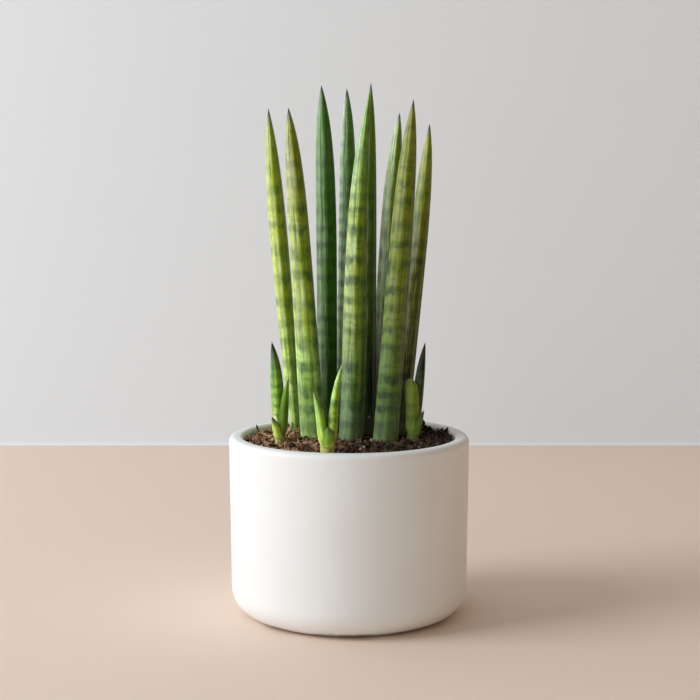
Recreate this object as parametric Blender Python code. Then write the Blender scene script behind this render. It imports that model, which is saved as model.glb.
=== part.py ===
"""A cylindrical snake plant in a round ceramic pot, in metres, with +Z up.

The origin is on the pot's axis, at the surface that the pot stands on, and the front faces -Y.
Nine round leaves and three young offshoots stand in plain holes in the potting soil, which fills
the pot. Leaves are numbered from left to right by their tips, as seen from the front.
"""

import math
import random
from typing import NamedTuple

import bmesh
import bpy
from mathutils import Vector, noise

MM = 0.001
TOUCH_GAP = 0.3 * MM
MERGE_DISTANCE = 0.01 * MM
SHARP_ANGLE = math.radians(35)

# Pot
POT_HEIGHT = 105 * MM
POT_RIM_RADIUS = 70 * MM
POT_BASE_RADIUS = 69 * MM
POT_WALL = 8.3 * MM
POT_FLOOR = 8 * MM
POT_BASE_ROUNDING = 16 * MM
POT_RIM_OUTER_ROUNDING = 3.6 * MM
POT_RIM_INNER_ROUNDING = 2.6 * MM
FOOT_RING_WIDTH = 6 * MM
FOOT_RECESS = 1.5 * MM
POT_SEGMENTS = 64
BASE_STEPS = 6
RIM_STEPS = 4
INNER_CORNER_STEPS = 4

# Potting soil
SOIL_EDGE_DROP = 4.2 * MM
SOIL_RISE = 2.4 * MM
# Soil heaped against the pot at the back right, in millimetres: x, y, height and spread
SOIL_HEAPS = ((44, 40, 3.6, 7), (56, 20, 3.4, 4.5))
# The grain of the surface: the size and the height of its lumps, the coarse ones first
SOIL_GRAINS = ((5 * MM, 1.5 * MM), (2.2 * MM, 0.75 * MM))
SOIL_JITTER = 0.3  # of the distance between neighbouring points
SOIL_RINGS = 13
CLOD_COUNT = 36
CLOD_RADII = (1.3 * MM, 3.0 * MM)
CLOD_STRETCH = ((0.9, 1.4), (0.8, 1.1), (0.6, 0.9))  # least and most, along X, Y and Z
CLOD_ROUGHNESS = 0.15
CLOD_CLEARANCE = 1.9  # in radii, from its middle to the nearest stem or to the pot
SOIL_SEED = 7

# Leaves
SOIL_LINE = POT_HEIGHT - 2 * MM
LEAF_PLANTED = 20 * MM
OFFSHOOT_PLANTED = 14 * MM
LEAF_SIDES = 20
BLADE_SIDES = 12
FLUTE_DEPTH = 0.022  # of the radius, as are the channels
LEAF_CHANNEL = 0.16
BLADE_CHANNEL = 0.42
CHANNEL_SPREAD = 0.5  # in radians
STEM_SHOULDER = 0.92  # of the stem's radius, as is its top
STEM_TOP = 0.45
BOW_PEAK = 27 / 4  # scales t^2 (1 - t) to 1 at its highest, two thirds of the way up
HOLE_SIDES = 20
HOLE_CUTTER_RISE = 12 * MM
# The rounded planted end: the share of the planted length, and how full the leaf is there
PLANTED_END = ((1, 0.62), (0.85, 1))
# Shares of the length above the soil at which a leaf has a ring of points, up to near its tip
LEAF_STATIONS = (0, 0.08, 0.2, 0.34, 0.48, 0.6, 0.7, 0.78, 0.85, 0.9, 0.94, 0.97, 0.988)
# For a blade, each share comes with how full the blade is there, as it starts inside the stem
BLADE_STATIONS = ((0, 0.5), (0.1, 0.85), (0.22, 1), (0.4, 1), (0.58, 1), (0.75, 1), (0.88, 1), (0.95, 1))


class Leaf(NamedTuple):
    """One round tapering leaf, in millimetres: where it leaves the soil, where it ends, and its form.

    bow is how far its middle stands off the straight line in X and Y. girth is its full thickness,
    point is the length over which the tip gathers that thickness, and swell is the share that the
    leaf gains, or where negative loses, down to the soil."""

    foot: tuple
    tip: tuple
    bow: tuple
    girth: float
    point: float
    swell: float


class Offshoot(NamedTuple):
    """A young rosette, in millimetres: a short stem in the soil and the blades that fan out of it."""

    foot: tuple
    stem_girth: float
    stem_top: float
    blades: tuple


LEAVES = {
    "leaf_1": Leaf((-32.0, 28), (-48.1, 38, 295.2), (-0.4, 1.5), 12.5, 30, -0.42),
    "leaf_2": Leaf((-20.5, 1), (-34.5, -5, 293.8), (1.0, -1.5), 12.6, 20, 0.24),
    "leaf_3": Leaf((-12.4, 15), (-16.2, 21, 307.9), (1.3, 1.0), 12.7, 23, -0.12),
    "leaf_4": Leaf((-2.5, 24), (-1.3, 32, 306.7), (0.8, 2.0), 10.6, 20, 0.08),
    "leaf_5": Leaf((1.0, -6), (11.8, -12, 303.2), (-3.0, -1.0), 13.4, 42, 0.08),
    "leaf_6": Leaf((9.6, 10), (12.7, 12, 308.9), (-1.1, 0.5), 12.0, 29, 0.0),
    "leaf_7": Leaf((17.2, 21.5), (29.9, 30, 292.3), (-1.4, 1.5), 11.2, 20, 0.02),
    "leaf_8": Leaf((20.8, -11), (36.1, -19, 297.8), (-0.6, -1.5), 13.2, 26, 0.14),
    "leaf_9": Leaf((29.0, 10), (46.9, 15, 285.5), (0.4, 1.0), 11.3, 24, 0.0),
}

OFFSHOOTS = {
    "offshoot_left": Offshoot(
        (-39.8, -12.0),
        6.2,
        111,
        (
            Leaf((-40.2, -11.4), (-44.5, -9.5, 160.5), (1.2, 0), 10.8, 16, -0.48),
            Leaf((-39.0, -12.8), (-34.8, -14.5, 139.7), (-0.6, 0), 7.0, 11, -0.25),
            Leaf((-40.0, -13.0), (-44.2, -18.0, 118.2), (0.4, 0.4), 6.2, 5, -0.12),
        ),
    ),
    "offshoot_front": Offshoot(
        (-11.9, -45.5),
        8.4,
        113,
        (
            Leaf((-13.0, -45.5), (-20.0, -47.0, 136.5), (1.2, 0), 7.2, 10, -0.10),
            Leaf((-10.6, -45.1), (-3.5, -43.0, 151.9), (-1.5, 0), 7.0, 15, -0.10),
            Leaf((-12.2, -44.3), (-14.4, -42.0, 127.4), (0.3, 0), 3.8, 6, 0.0),
            Leaf((-11.9, -46.0), (-11.4, -51.0, 117.5), (0, 0.8), 9.0, 4, -0.14),
        ),
    ),
    "offshoot_right": Offshoot(
        (36.9, -5.5),
        7.0,
        111,
        (
            Leaf((37.4, -4.8), (44.2, -2.0, 159.5), (-0.7, 0), 8.5, 17, -0.34),
            Leaf((36.8, -6.0), (35.0, -7.5, 139.0), (0.8, 0), 8.3, 1.7, -0.12),
            Leaf((37.4, -6.6), (43.3, -11.0, 120.9), (-0.4, 0.4), 5.8, 6, -0.10),
        ),
    ),
}

MATERIALS = {  # colour, roughness
    "white_ceramic": ((0.80, 0.79, 0.77), 0.45),
    "potting_soil": ((0.055, 0.028, 0.014), 0.95),
    "leaf_green": ((0.13, 0.24, 0.05), 0.45),
    "offshoot_green": ((0.16, 0.34, 0.05), 0.42),
}


def clear_scene():
    """Removes whatever the scene holds."""
    for existing in list(bpy.data.objects):
        bpy.data.objects.remove(existing)


def material(name):
    """The Principled material of that name, made once."""
    made = bpy.data.materials.get(name)
    if made:
        return made
    colour, roughness = MATERIALS[name]
    made = bpy.data.materials.new(name)
    made.use_nodes = True
    surface = made.node_tree.nodes["Principled BSDF"]
    surface.inputs["Base Color"].default_value = (*colour, 1)
    surface.inputs["Roughness"].default_value = roughness
    surface.inputs["Metallic"].default_value = 0
    return made


def add_object(name, mesh_tool, finish):
    """Turns a bmesh into a named object in the scene, with its faces pointing out."""
    bmesh.ops.recalc_face_normals(mesh_tool, faces=mesh_tool.faces)
    mesh = bpy.data.meshes.new(name)
    mesh_tool.to_mesh(mesh)
    mesh_tool.free()
    mesh.materials.append(material(finish))
    made = bpy.data.objects.new(name, mesh)
    bpy.context.scene.collection.objects.link(made)
    return made


def apply_modifiers(target):
    """Bakes an object's modifiers into its mesh."""
    bpy.context.view_layer.update()
    graph = bpy.context.evaluated_depsgraph_get()
    finished = bpy.data.meshes.new_from_object(target.evaluated_get(graph))
    target.modifiers.clear()
    target.data = finished


def combine(target, pieces, operation):
    """Joins the pieces to the target, or cuts them from it, in one Boolean, and removes them."""
    group = bpy.data.collections.new(f"{target.name}_pieces")
    for piece in pieces:
        group.objects.link(piece)
    boolean = target.modifiers.new("Combine", "BOOLEAN")
    boolean.operation = operation
    boolean.operand_type = "COLLECTION"
    boolean.collection = group
    boolean.solver = "EXACT"
    apply_modifiers(target)
    for piece in pieces:
        bpy.data.objects.remove(piece)
    bpy.data.collections.remove(group)


def arc(centre_r, centre_z, radius, start, end, steps):
    """Points along an arc of a turned profile, with its angles in degrees from the outward radius."""
    angles = [math.radians(start + (end - start) * k / steps) for k in range(steps + 1)]
    return [(centre_r + radius * math.cos(a), centre_z + radius * math.sin(a)) for a in angles]


def turned(name, profile, segments, finish):
    """A solid turned about the Z axis from a profile whose two ends lie on that axis."""
    tool = bmesh.new()
    corners = [tool.verts.new((r, 0, z)) for r, z in profile]
    edges = [tool.edges.new(pair) for pair in zip(corners, corners[1:])]
    bmesh.ops.spin(
        tool,
        geom=corners + edges,
        axis=(0, 0, 1),
        cent=(0, 0, 0),
        angle=2 * math.pi,
        steps=segments,
        use_merge=True,
    )
    bmesh.ops.remove_doubles(tool, verts=tool.verts, dist=MERGE_DISTANCE)
    return add_object(name, tool, finish)


def smooth(target):
    """Shades an object smooth, apart from its real edges."""
    target.data.shade_smooth()
    target.data.set_sharp_from_angle(angle=SHARP_ANGLE)
    return target


def plain_round(_angle):
    return 1.0


def ring_of(tool, centre, sides, radius, form=plain_round):
    """Points around a centre, all at its height. form gives their share of the radius by angle."""
    points = []
    for n in range(sides):
        angle = 2 * math.pi * n / sides
        outward = Vector((math.cos(angle), math.sin(angle), 0))
        points.append(tool.verts.new(centre + outward * radius * form(angle)))
    return points


def lofted(name, tool, rings, finish, tip=None):
    """A closed solid through rings of points, flat at its first and, with no tip, at its last."""
    for lower, upper in zip(rings, rings[1:]):
        count = len(lower)
        for n in range(count):
            m = (n + 1) % count
            tool.faces.new((lower[n], lower[m], upper[m], upper[n]))
    tool.faces.new(rings[0])
    if tip is None:
        tool.faces.new(rings[-1])
    else:
        point = tool.verts.new(tip)
        for first, second in zip(rings[-1], rings[-1][1:] + rings[-1][:1]):
            tool.faces.new((first, second, point))
    return add_object(name, tool, finish)


def inner_radius(z):
    """The pot's inside radius at a height on its straight inner wall."""
    top = POT_HEIGHT - POT_RIM_INNER_ROUNDING
    bottom = POT_BASE_ROUNDING
    share = (z - bottom) / (top - bottom)
    return POT_BASE_RADIUS - POT_WALL + (POT_RIM_RADIUS - POT_BASE_RADIUS) * share


def pot_profile():
    """The pot's section: recessed foot, rounded base, plain wall, soft rim and inside."""
    ring_outer = POT_BASE_RADIUS - POT_BASE_ROUNDING
    ring_inner = ring_outer - FOOT_RING_WIDTH
    rim_outer_z = POT_HEIGHT - POT_RIM_OUTER_ROUNDING
    rim_inner_z = POT_HEIGHT - POT_RIM_INNER_ROUNDING
    rim_inner_r = POT_RIM_RADIUS - POT_WALL + POT_RIM_INNER_ROUNDING
    corner = POT_BASE_ROUNDING - POT_FLOOR
    outside = [(0, FOOT_RECESS), (ring_inner - FOOT_RECESS, FOOT_RECESS), (ring_inner, 0)]
    outside += arc(ring_outer, POT_BASE_ROUNDING, POT_BASE_ROUNDING, -90, 0, BASE_STEPS)
    rim_r = POT_RIM_RADIUS - POT_RIM_OUTER_ROUNDING
    outside += arc(rim_r, rim_outer_z, POT_RIM_OUTER_ROUNDING, 0, 90, RIM_STEPS)
    inside = arc(rim_inner_r, rim_inner_z, POT_RIM_INNER_ROUNDING, 90, 180, RIM_STEPS)
    corner_r = inner_radius(POT_BASE_ROUNDING) - corner
    inside += arc(corner_r, POT_BASE_ROUNDING, corner, 0, -90, INNER_CORNER_STEPS)
    return outside + inside + [(0, POT_FLOOR)]


def make_pot():
    return smooth(turned("pot", pot_profile(), POT_SEGMENTS, "white_ceramic"))


def soil_height(x, y):
    """Height of the soil's crumbled surface, which rises gently from the rim to the leaves."""
    reach = math.hypot(x, y) / inner_radius(POT_HEIGHT)
    height = POT_HEIGHT - SOIL_EDGE_DROP + SOIL_RISE * max(0.0, 1 - reach**2)
    for heap_x, heap_y, rise, spread in SOIL_HEAPS:
        away = math.hypot(x / MM - heap_x, y / MM - heap_y) / spread
        height += rise * MM * math.exp(-(away**2))
    for size, relief in SOIL_GRAINS:
        height += relief * noise.noise(Vector((x / size, y / size, size / MM)))
    return height


def soil_body():
    """The soil as one closed solid: the pot's inside for its floor and sides, and a crumbled top."""
    pick = random.Random(SOIL_SEED)
    edge_radius = inner_radius(POT_HEIGHT - SOIL_EDGE_DROP) - TOUCH_GAP
    corner = POT_BASE_ROUNDING - POT_FLOOR
    corner_r = inner_radius(POT_BASE_ROUNDING) - corner
    tool = bmesh.new()
    rings = []
    under = arc(corner_r, POT_BASE_ROUNDING, corner - TOUCH_GAP, -90, 0, INNER_CORNER_STEPS)
    for radius, z in under:
        rings.append(ring_of(tool, Vector((0, 0, z)), POT_SEGMENTS, radius))
    for k in range(SOIL_RINGS, 0, -1):
        shift = 0 if k == SOIL_RINGS else SOIL_JITTER
        ring = []
        for n in range(POT_SEGMENTS):
            radius = edge_radius * (k + pick.uniform(-shift, shift)) / SOIL_RINGS
            angle = 2 * math.pi * (n + pick.uniform(-shift, shift)) / POT_SEGMENTS
            x, y = radius * math.cos(angle), radius * math.sin(angle)
            ring.append(tool.verts.new((x, y, soil_height(x, y))))
        rings.append(ring)
    return lofted("soil", tool, rings, "potting_soil", tip=(0, 0, soil_height(0, 0)))


def stands():
    """Where each leaf and offshoot leaves the soil, with its radius there, in metres."""
    places = []
    for leaf in LEAVES.values():
        places.append((leaf.foot[0] * MM, leaf.foot[1] * MM, leaf_radius(leaf, 0) * (1 + FLUTE_DEPTH)))
    for shoot in OFFSHOOTS.values():
        places.append((shoot.foot[0] * MM, shoot.foot[1] * MM, shoot.stem_girth * MM / 2))
    return places


def clods():
    """Lumps of soil that lie half sunk in the surface, clear of the leaves and of the pot."""
    pick = random.Random(SOIL_SEED + 1)
    edge = inner_radius(POT_HEIGHT - SOIL_EDGE_DROP)
    placed, made = [], []
    while len(made) < CLOD_COUNT:
        radius = pick.uniform(*CLOD_RADII)
        reach = (edge - CLOD_CLEARANCE * radius) * math.sqrt(pick.random())
        turn = pick.uniform(0, 2 * math.pi)
        x, y = reach * math.cos(turn), reach * math.sin(turn)
        near = [(x - px, y - py, pr) for px, py, pr in placed + stands()]
        if any(math.hypot(dx, dy) < pr + CLOD_CLEARANCE * radius for dx, dy, pr in near):
            continue
        placed.append((x, y, radius))
        tool = bmesh.new()
        bmesh.ops.create_icosphere(tool, subdivisions=1, radius=radius)
        stretch = Vector([pick.uniform(*limits) for limits in CLOD_STRETCH])
        for corner in tool.verts:
            corner.co *= 1 + pick.uniform(-CLOD_ROUGHNESS, CLOD_ROUGHNESS)
            corner.co = corner.co * stretch + Vector((x, y, soil_height(x, y)))
        made.append(add_object(f"clod_{len(made)}", tool, "potting_soil"))
    return made


def leaf_centre(leaf, share):
    """A point on a leaf's middle line. Below the soil, where share is negative, the line runs straight."""
    foot = Vector((*leaf.foot, SOIL_LINE / MM))
    tip = Vector(leaf.tip)
    along = max(0.0, share)
    bow = Vector((*leaf.bow, 0)) * BOW_PEAK * along**2 * (1 - along)
    return (foot.lerp(tip, share) + bow) * MM


def leaf_radius(leaf, share):
    """A leaf's mean radius at a share of its length, where 0 is the soil and 1 the tip."""
    length = leaf.tip[2] - SOIL_LINE / MM
    above = 1 - max(0.0, share)
    gathered = 1 - math.exp(-above * length / leaf.point)
    return leaf.girth / 2 * gathered * (1 + leaf.swell * above**2) * MM


def planted_share(leaf, depth):
    """The negative share of a leaf's length that lies depth below the soil line."""
    return -depth / (leaf.tip[2] * MM - SOIL_LINE)


def fluted(name, leaf, stations, sides, channel, inward, finish):
    """A leaf with shallow flutes along it, and a channel down the side that faces inward.

    The stations run from its lower end to near its tip, each with the share of the leaf's length
    and how full the leaf is there."""
    side = 2 * math.pi / sides

    def form(angle):
        off = (angle - inward + math.pi) % (2 * math.pi) - math.pi
        groove = 1 - channel * math.exp(-((off / CHANNEL_SPREAD) ** 2))
        flute = FLUTE_DEPTH * math.cos(math.pi * angle / side)
        return groove * (1 - flute)

    tool = bmesh.new()
    rings = []
    for share, full in stations:
        radius = leaf_radius(leaf, share) * full
        rings.append(ring_of(tool, leaf_centre(leaf, share), sides, radius, form))
    return lofted(name, tool, rings, finish, tip=leaf_centre(leaf, 1))


def make_leaf(name, leaf):
    """A grown leaf, with a rounded planted end, whose shallow channel faces the middle of the pot."""
    inward = math.atan2(-leaf.foot[1], -leaf.foot[0])
    bottom = planted_share(leaf, LEAF_PLANTED)
    stations = [(bottom * share, full) for share, full in PLANTED_END]
    stations += [(share, 1) for share in LEAF_STATIONS]
    return smooth(fluted(name, leaf, stations, LEAF_SIDES, LEAF_CHANNEL, inward, "leaf_green"))


def make_stem(name, shoot):
    """The short stem of an offshoot, rounded off inside the sheath of its blades."""
    x, y = (c * MM for c in shoot.foot)
    radius = shoot.stem_girth * MM / 2
    top = shoot.stem_top * MM
    levels = [(SOIL_LINE - OFFSHOOT_PLANTED * share, full) for share, full in PLANTED_END]
    levels += [(SOIL_LINE, 1), (top - radius, STEM_SHOULDER), (top, STEM_TOP)]
    tool = bmesh.new()
    rings = []
    for z, full in levels:
        rings.append(ring_of(tool, Vector((x, y, z)), BLADE_SIDES, radius * full))
    return lofted(name, tool, rings, "offshoot_green")


def make_offshoot(name, shoot):
    """An offshoot: blades with a deep channel towards the stem, fused into that stem."""
    stem = make_stem(name, shoot)
    blades = []
    for n, blade in enumerate(shoot.blades):
        inward = math.atan2(shoot.foot[1] - blade.tip[1], shoot.foot[0] - blade.tip[0])
        blades.append(
            fluted(
                f"{name}_blade_{n}",
                blade,
                BLADE_STATIONS,
                BLADE_SIDES,
                BLADE_CHANNEL,
                inward,
                "offshoot_green",
            )
        )
    combine(stem, blades, "UNION")
    return smooth(stem)


def hole_cutter(name, bottom, top, radius):
    """A plain round bar between two points, which cuts the hole that a stem stands in."""
    corner_reach = (radius + TOUCH_GAP) / math.cos(math.pi / HOLE_SIDES)
    tool = bmesh.new()
    rings = [ring_of(tool, end, HOLE_SIDES, corner_reach) for end in (bottom, top)]
    return lofted(name, tool, rings, "potting_soil")


def hole_cutters():
    """One bar for each leaf and each offshoot, a touch wider and deeper than what stands in it."""
    cutters = []
    for name, leaf in LEAVES.items():
        foot, tip = Vector((*leaf.foot, SOIL_LINE / MM)) * MM, Vector(leaf.tip) * MM
        bottom = foot.lerp(tip, planted_share(leaf, LEAF_PLANTED + TOUCH_GAP))
        top = foot.lerp(tip, planted_share(leaf, -HOLE_CUTTER_RISE))
        radius = leaf_radius(leaf, 0) * (1 + FLUTE_DEPTH)
        cutters.append(hole_cutter(f"{name}_hole", bottom, top, radius))
    for name, shoot in OFFSHOOTS.items():
        x, y = (c * MM for c in shoot.foot)
        bottom = Vector((x, y, SOIL_LINE - OFFSHOOT_PLANTED - TOUCH_GAP))
        top = Vector((x, y, SOIL_LINE + HOLE_CUTTER_RISE))
        cutters.append(hole_cutter(f"{name}_hole", bottom, top, shoot.stem_girth * MM / 2))
    return cutters


def make_soil():
    soil = soil_body()
    combine(soil, clods(), "UNION")
    combine(soil, hole_cutters(), "DIFFERENCE")
    return soil


def main():
    clear_scene()
    make_pot()
    make_soil()
    for name, leaf in LEAVES.items():
        make_leaf(name, leaf)
    for name, shoot in OFFSHOOTS.items():
        make_offshoot(name, shoot)


main()
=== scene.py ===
import math
import random
from typing import NamedTuple

import bmesh
import bpy
import numpy as np
from mathutils import Euler, Matrix, Vector, noise
from mathutils.bvhtree import BVHTree


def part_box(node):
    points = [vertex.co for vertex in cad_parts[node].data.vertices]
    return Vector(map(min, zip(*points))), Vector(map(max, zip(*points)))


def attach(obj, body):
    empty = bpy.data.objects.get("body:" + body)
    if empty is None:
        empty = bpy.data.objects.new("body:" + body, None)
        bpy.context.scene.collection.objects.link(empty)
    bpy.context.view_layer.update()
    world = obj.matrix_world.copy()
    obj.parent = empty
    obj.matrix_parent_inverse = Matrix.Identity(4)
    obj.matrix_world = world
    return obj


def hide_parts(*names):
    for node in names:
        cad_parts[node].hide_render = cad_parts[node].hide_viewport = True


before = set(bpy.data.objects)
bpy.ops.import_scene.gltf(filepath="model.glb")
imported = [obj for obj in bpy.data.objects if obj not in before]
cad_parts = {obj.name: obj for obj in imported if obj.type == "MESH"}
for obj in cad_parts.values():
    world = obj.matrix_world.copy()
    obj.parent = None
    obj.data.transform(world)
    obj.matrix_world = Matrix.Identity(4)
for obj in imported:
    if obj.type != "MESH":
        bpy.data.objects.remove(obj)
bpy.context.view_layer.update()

# A cylindrical snake plant in a white ceramic pot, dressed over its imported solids. Metres, +Z up,
# with the pot's axis on Z and the front facing -Y. Tables of lengths are in millimetres.

MM = 0.001

# Camera and stage
CAMERA_DISTANCE = 0.9119
CAMERA_HEIGHT = 0.2543
CAMERA_SIDE = 0.00052
CAMERA_TILT = math.radians(6.245)
CAMERA_LENS = 81.17
CAMERA_SENSOR = 36
FLOOR_BACK = 0.578
FLOOR_REACH = 3.0
FLOOR_COLOUR = (0.86, 0.69, 0.57)
WALL_HEIGHT = 2.4
WALL_COLOUR = (0.86, 0.90, 0.94)
STAGE_ROUGHNESS = 0.75
COVE_RADIUS = 0.003
COVE_STEPS = 6
LAMP_TARGET = Vector((0, 0, 0.14))
ROOM_COLOUR = (1.0, 0.87, 0.66)
ROOM_STRENGTH = 0.16

# Pot, as in the solid, with its height and radius read from the frame
POT_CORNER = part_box("pot")[1]
POT_HEIGHT = POT_CORNER.z
POT_RADIUS = POT_CORNER.x
POT_TAPER = 1 * MM
POT_WALL = 8.3 * MM
POT_INSIDE_RADIUS = POT_RADIUS - POT_WALL
POT_FLOOR = 8 * MM
POT_BASE_ROUNDING = 16 * MM
POT_RIM_OUTER_ROUNDING = 3.6 * MM
POT_RIM_INNER_ROUNDING = 2.6 * MM
FOOT_RING_WIDTH = 6 * MM
FOOT_RECESS = 1.5 * MM
FOOT_CHAMFER = 0.4 * MM
POT_SEGMENTS = 256
POT_ARC_STEPS = 18
POT_SHARP_EDGE = math.radians(30)
POT_WELD_DISTANCE = 0.005 * MM

# Potting soil
SOIL_LINE = 103 * MM
SOIL_EDGE_DROP = 4.2 * MM
SOIL_EDGE_GAP = 0.3 * MM
SOIL_EDGE_PULL = 0.2 * MM
SOIL_LOOK_DOWN = 30 * MM
SOIL_CLEAR_EDGE = 0.8 * MM
SOIL_CELLS = 176
SOIL_BRIDGE_ROUNDS = 60
SOIL_HOLE_DROP = 5 * MM
SOIL_GRAINS = ((2.6 * MM, 0.55 * MM), (1.1 * MM, 0.35 * MM))
SOIL_SEED = 11
SPECK_SIZE = 1.5 * MM
LITTER_TINT = 0.7

# Leaves and offshoots. A foot's fullness is how much of the full girth it has where it starts, and
# its share is the part of the length over which it fills out. BOW_PEAK makes a bow's curve 1 at its
# peak.
LEAF_PLANTED = 20 * MM
OFFSHOOT_PLANTED = 14 * MM
ROOTED_FULLNESS = 0.62
LEAF_FOOT_SHARE = 0.015
STEM_FOOT_SHARE = 0.1
STEM_POINT = 1.2
BLADE_FULLNESS = 0.5
BLADE_FOOT_SHARE = 0.22
LEAF_SIDES = 100
LEAF_ROWS = 150
BLADE_SIDES = 64
BLADE_ROWS = 60
TIP_CROWDING = 1.35
LEAF_FLUTES = 10
BLADE_FLUTES = 6
FLUTE_DEPTH = 0.022
RIB_DEPTH = 0.005
RIBS_PER_FLUTE = 3
LEAF_CHANNEL = 0.16
BLADE_CHANNEL = 0.42
CHANNEL_SPREAD = 0.5
UNEVENNESS = 0.016
LUMP_LENGTH = 0.022
BOW_PEAK = 27 / 4
LEAF_WELD_DISTANCE = 0.0005 * MM

# Leaf skin. Tints darken what they are multiplied into, and colours lie over it.
STREAK_TINT = (0.62, 0.74, 0.55)
FINE_TINT = (0.70, 0.80, 0.60)
PATCH_TINT = (0.58, 0.74, 0.50)
BAND_TINT = (0.14, 0.33, 0.07)
MOTTLE_TINT = (0.45, 0.64, 0.34)
RUNG_TINT = (0.40, 0.56, 0.36)
DASH_TINT = (0.16, 0.30, 0.08)
# GROOVE_SHADE_TINT darkens the grooves: partly streaked lines, partly painted shade.
GROOVE_SHADE_TINT = (0.45, 0.58, 0.35)
# SHEEN_COLOUR is a painted highlight, added to the skin on the leaves' left side.
SHEEN_COLOUR = (0.29, 0.28, 0.295)
TIP_HALO_COLOUR = (0.16, 0.16, 0.09)
FOOT_COLOUR = (0.42, 0.52, 0.27)
SOIL_STAIN = (0.14, 0.09, 0.04)
SKIN_RELIEF = 0.12 * MM
LEAF_WEAR = 1.0
LEAF_GLOSS = 0.5
BLADE_WEAR = 0.45
BLADE_GLOSS = 0.3


class Leaf(NamedTuple):
    """One leaf or blade, in millimetres: where it leaves the soil, where it ends, and its form.

    bow is how far it stands off the straight line two thirds of the way up, where that is most.
    girth is its full thickness, point the length over which the tip gathers it, and swell the share
    that it gains down to the soil."""

    foot: tuple
    tip: tuple
    bow: tuple
    girth: float
    point: float
    swell: float
    skin: str


class Offshoot(NamedTuple):
    """A young rosette, in millimetres: a short stem in the soil and the blades that fan out of it."""

    foot: tuple
    stem_girth: float
    stem_top: float
    stem_skin: str
    blades: tuple


class Skin(NamedTuple):
    """How one leaf is coloured. bands, dashes and sheen are strengths, and lengths are in mm. sheen is
    painted sheen: a pale, cloudy highlight on the leaf's left side, towards the key lamp.
    """

    top: tuple
    middle: tuple
    low: tuple
    bands: float
    spacing: float
    dashes: float
    bloom: float
    seed: float
    tip: tuple = (0.045, 0.035, 0.024)
    tip_length: float = 4.0


class Lamp(NamedTuple):
    """A square soft light that faces the plant. Azimuth is in degrees from the front, to the right.
    Where shines is false, it only fills the shadows and shows in no reflection."""

    azimuth: float
    elevation: float
    distance: float
    size: float
    watts: float
    colour: tuple
    shines: bool


class Bit(NamedTuple):
    """One bit of litter: its finish, its place and length in mm, its width as a share of the
    length, its curl, and how far it is turned and lifted, in degrees."""

    finish: str
    place: tuple
    length: float
    width: float
    curl: float
    turn: float
    lift: float


LAMPS = {
    "key": Lamp(-76, 30, 3.0, 1.7, 72, (0.90, 0.945, 1.0), True),
    "front_fill": Lamp(-30, 12, 2.2, 1.6, 15, (0.80, 0.92, 1.0), False),
    "warm_bounce": Lamp(92, 6, 1.4, 0.9, 2.3, (1.0, 0.64, 0.38), False),
}

# The low colours of the inner leaves are darkened to painted shade, leaf_6's most of all, so its foot
# is nearly black from every side.
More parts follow.
